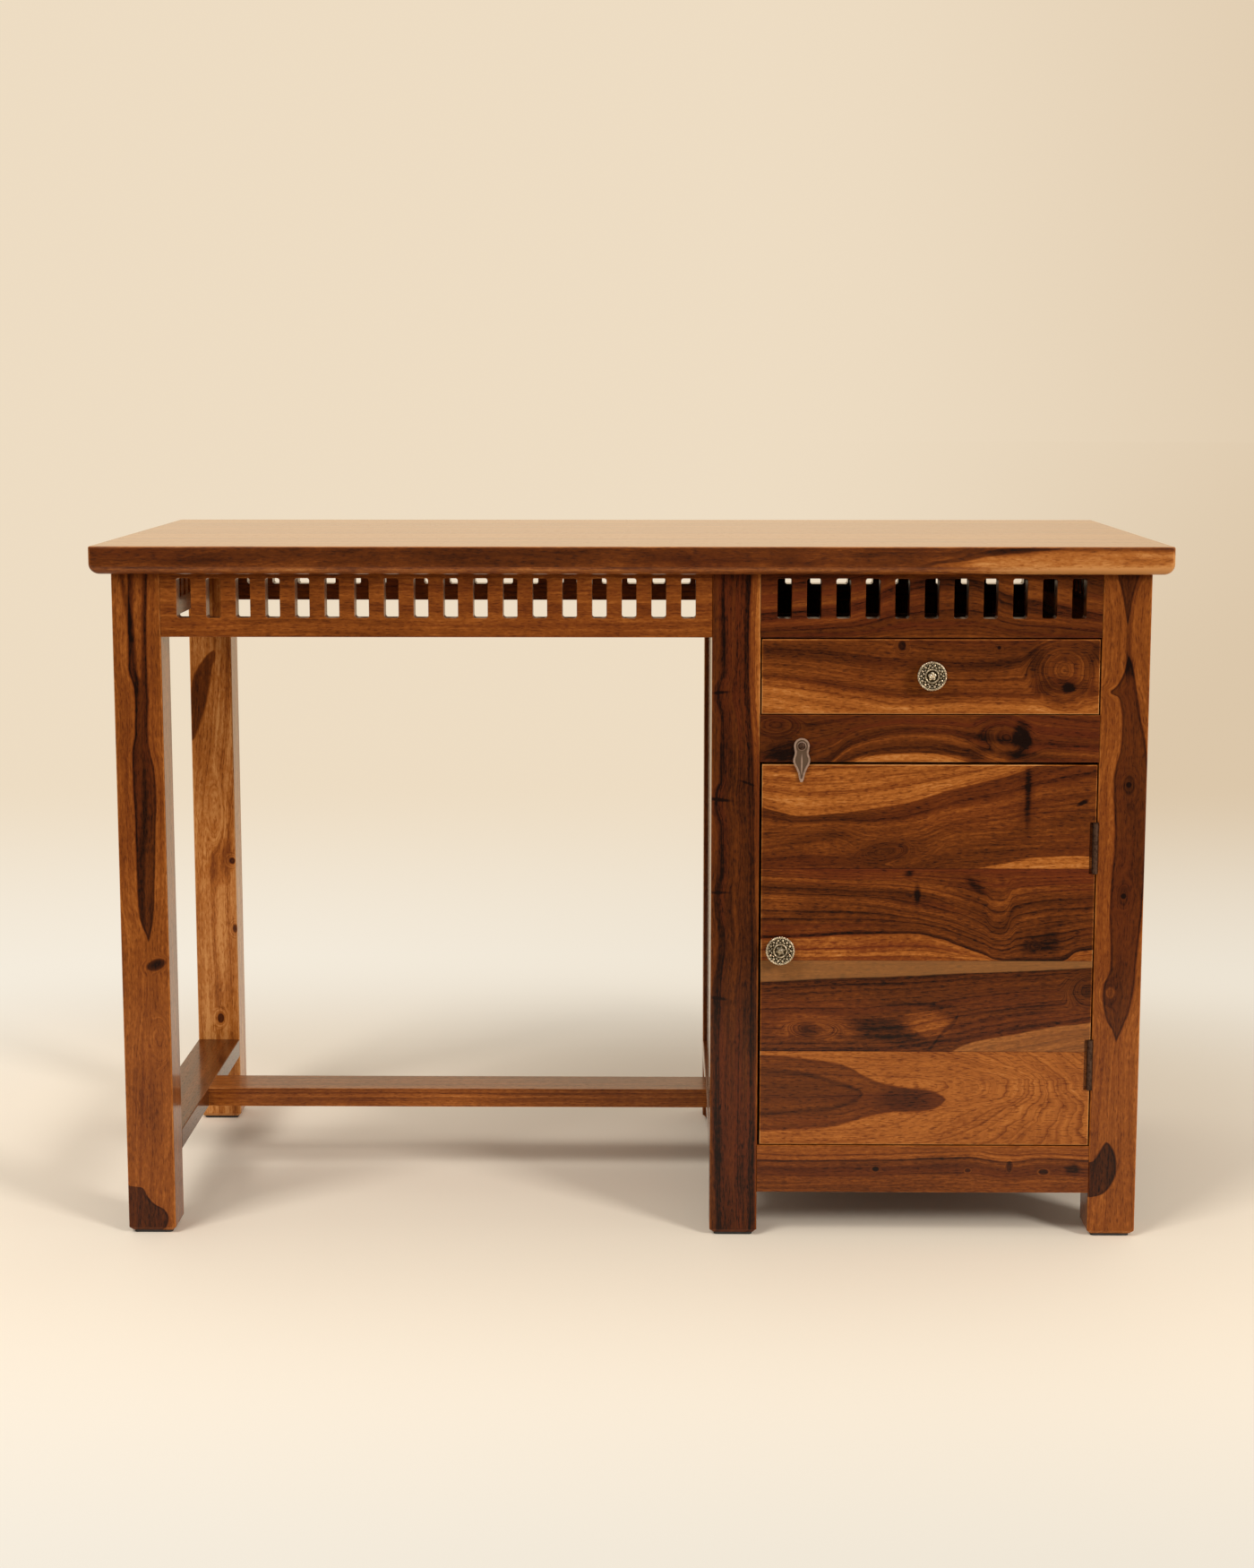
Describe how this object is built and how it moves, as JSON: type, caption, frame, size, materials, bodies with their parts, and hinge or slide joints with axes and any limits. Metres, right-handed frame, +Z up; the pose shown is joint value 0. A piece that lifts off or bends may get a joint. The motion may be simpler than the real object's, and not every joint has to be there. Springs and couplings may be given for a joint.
{
  "type": "writing desk",
  "caption": "Solid hardwood writing desk with a knee space, slotted aprons, stretchers, a drawer with a round knob and a hinged cabinet door held by a turn button.",
  "frame": {"origin": "on the floor under the middle of the tabletop", "axes": "+X to the right as the sitter sees it (knee space at -X, cabinet at +X), +Y to the back, +Z up; the drawer and the door open towards -Y"},
  "size_m": [1.15, 0.56, 0.76],
  "materials": {
    "top_wood": "satin lacquered rosewood slab, warm brown with darker streaks",
    "leg_wood": "satin lacquered rosewood, honey brown with dark heartwood",
    "rail_wood": "satin lacquered rosewood, red brown",
    "front_wood": "satin lacquered rosewood with lively figure",
    "panel_wood": "satin lacquered rosewood boards",
    "inner_wood": "plain planed hardwood, thinly lacquered",
    "drawer_wood": "plain planed hardwood drawer box",
    "knob_brass": "antiqued cast rosette, dark in the hollows",
    "hinge_iron": "dark rolled iron",
    "button_iron": "grey brown aged iron",
    "screw_steel": "plain steel",
    "bracket_steel": "zinc plated steel",
    "glide_plastic": "black plastic glide"
  },
  "bodies": {
    "frame": {"apron_back_cabinet": "rail_wood", "apron_back_knee": "rail_wood", "apron_front_cabinet": "rail_wood", "apron_front_knee": "rail_wood", "apron_left": "rail_wood", "apron_middle": "rail_wood", "apron_right": "rail_wood", "back_panel": "panel_wood", "bottom_rail_back": "rail_wood", "bottom_rail_front": "rail_wood", "cabinet_floor": "panel_wood", "cabinet_shelf": "panel_wood", "door_stop": "inner_wood", "drawer_kickers": "inner_wood", "drawer_rail": "rail_wood", "drawer_runner_left": "inner_wood", "drawer_runner_right": "inner_wood", "drawer_stops": "inner_wood", "floor_cleats": "inner_wood", "foot_glides": "glide_plastic", "hinge_frame_leaf_lower": "hinge_iron", "hinge_frame_leaf_upper": "hinge_iron", "hinge_frame_screws": "screw_steel", "hinge_pins": "hinge_iron", "leg_back_left": "leg_wood", "leg_back_middle": "leg_wood", "leg_back_right": "leg_wood", "leg_front_left": "leg_wood", "leg_front_middle": "leg_wood", "leg_front_right": "leg_wood", "shelf_cleats": "inner_wood", "side_panel_left": "panel_wood", "side_panel_right": "panel_wood", "stretcher_left": "rail_wood", "stretcher_long": "rail_wood", "stretcher_middle": "rail_wood", "stretcher_right": "rail_wood", "tabletop": "top_wood", "top_bracket_screws": "screw_steel", "top_brackets": "bracket_steel", "turn_button_screw": "button_iron"},
    "drawer": {"drawer_front": "front_wood", "drawer_side_left": "drawer_wood", "drawer_side_right": "drawer_wood", "drawer_back": "drawer_wood", "drawer_bottom": "drawer_wood", "drawer_knob": "knob_brass", "drawer_knob_bolt": "screw_steel"},
    "door": {"door_panel": "front_wood", "door_batten_left": "inner_wood", "door_batten_right": "inner_wood", "door_batten_screws": "screw_steel", "door_knob": "knob_brass", "door_knob_bolt": "screw_steel", "hinge_door_leaf_upper": "hinge_iron", "hinge_door_leaf_lower": "hinge_iron", "hinge_door_screws": "screw_steel"},
    "button": {"turn_button": "button_iron"}
  },
  "joints": [
    {"name": "drawer_slide", "type": "slide", "parent": "frame", "child": "drawer", "axis": [0, -1, 0], "range_m": [0, 0.3]},
    {"name": "door_hinge", "type": "hinge", "parent": "frame", "child": "door", "pos_m": [0.5012, -0.2605, 0.3147], "axis": [0, 0, 1], "range_deg": [0, 170]},
    {"name": "button_turn", "type": "hinge", "parent": "frame", "child": "button", "pos_m": [0.1838, -0.2603, 0.5455], "axis": [0, 1, 0], "range_deg": [-90, 90]}
  ]
}
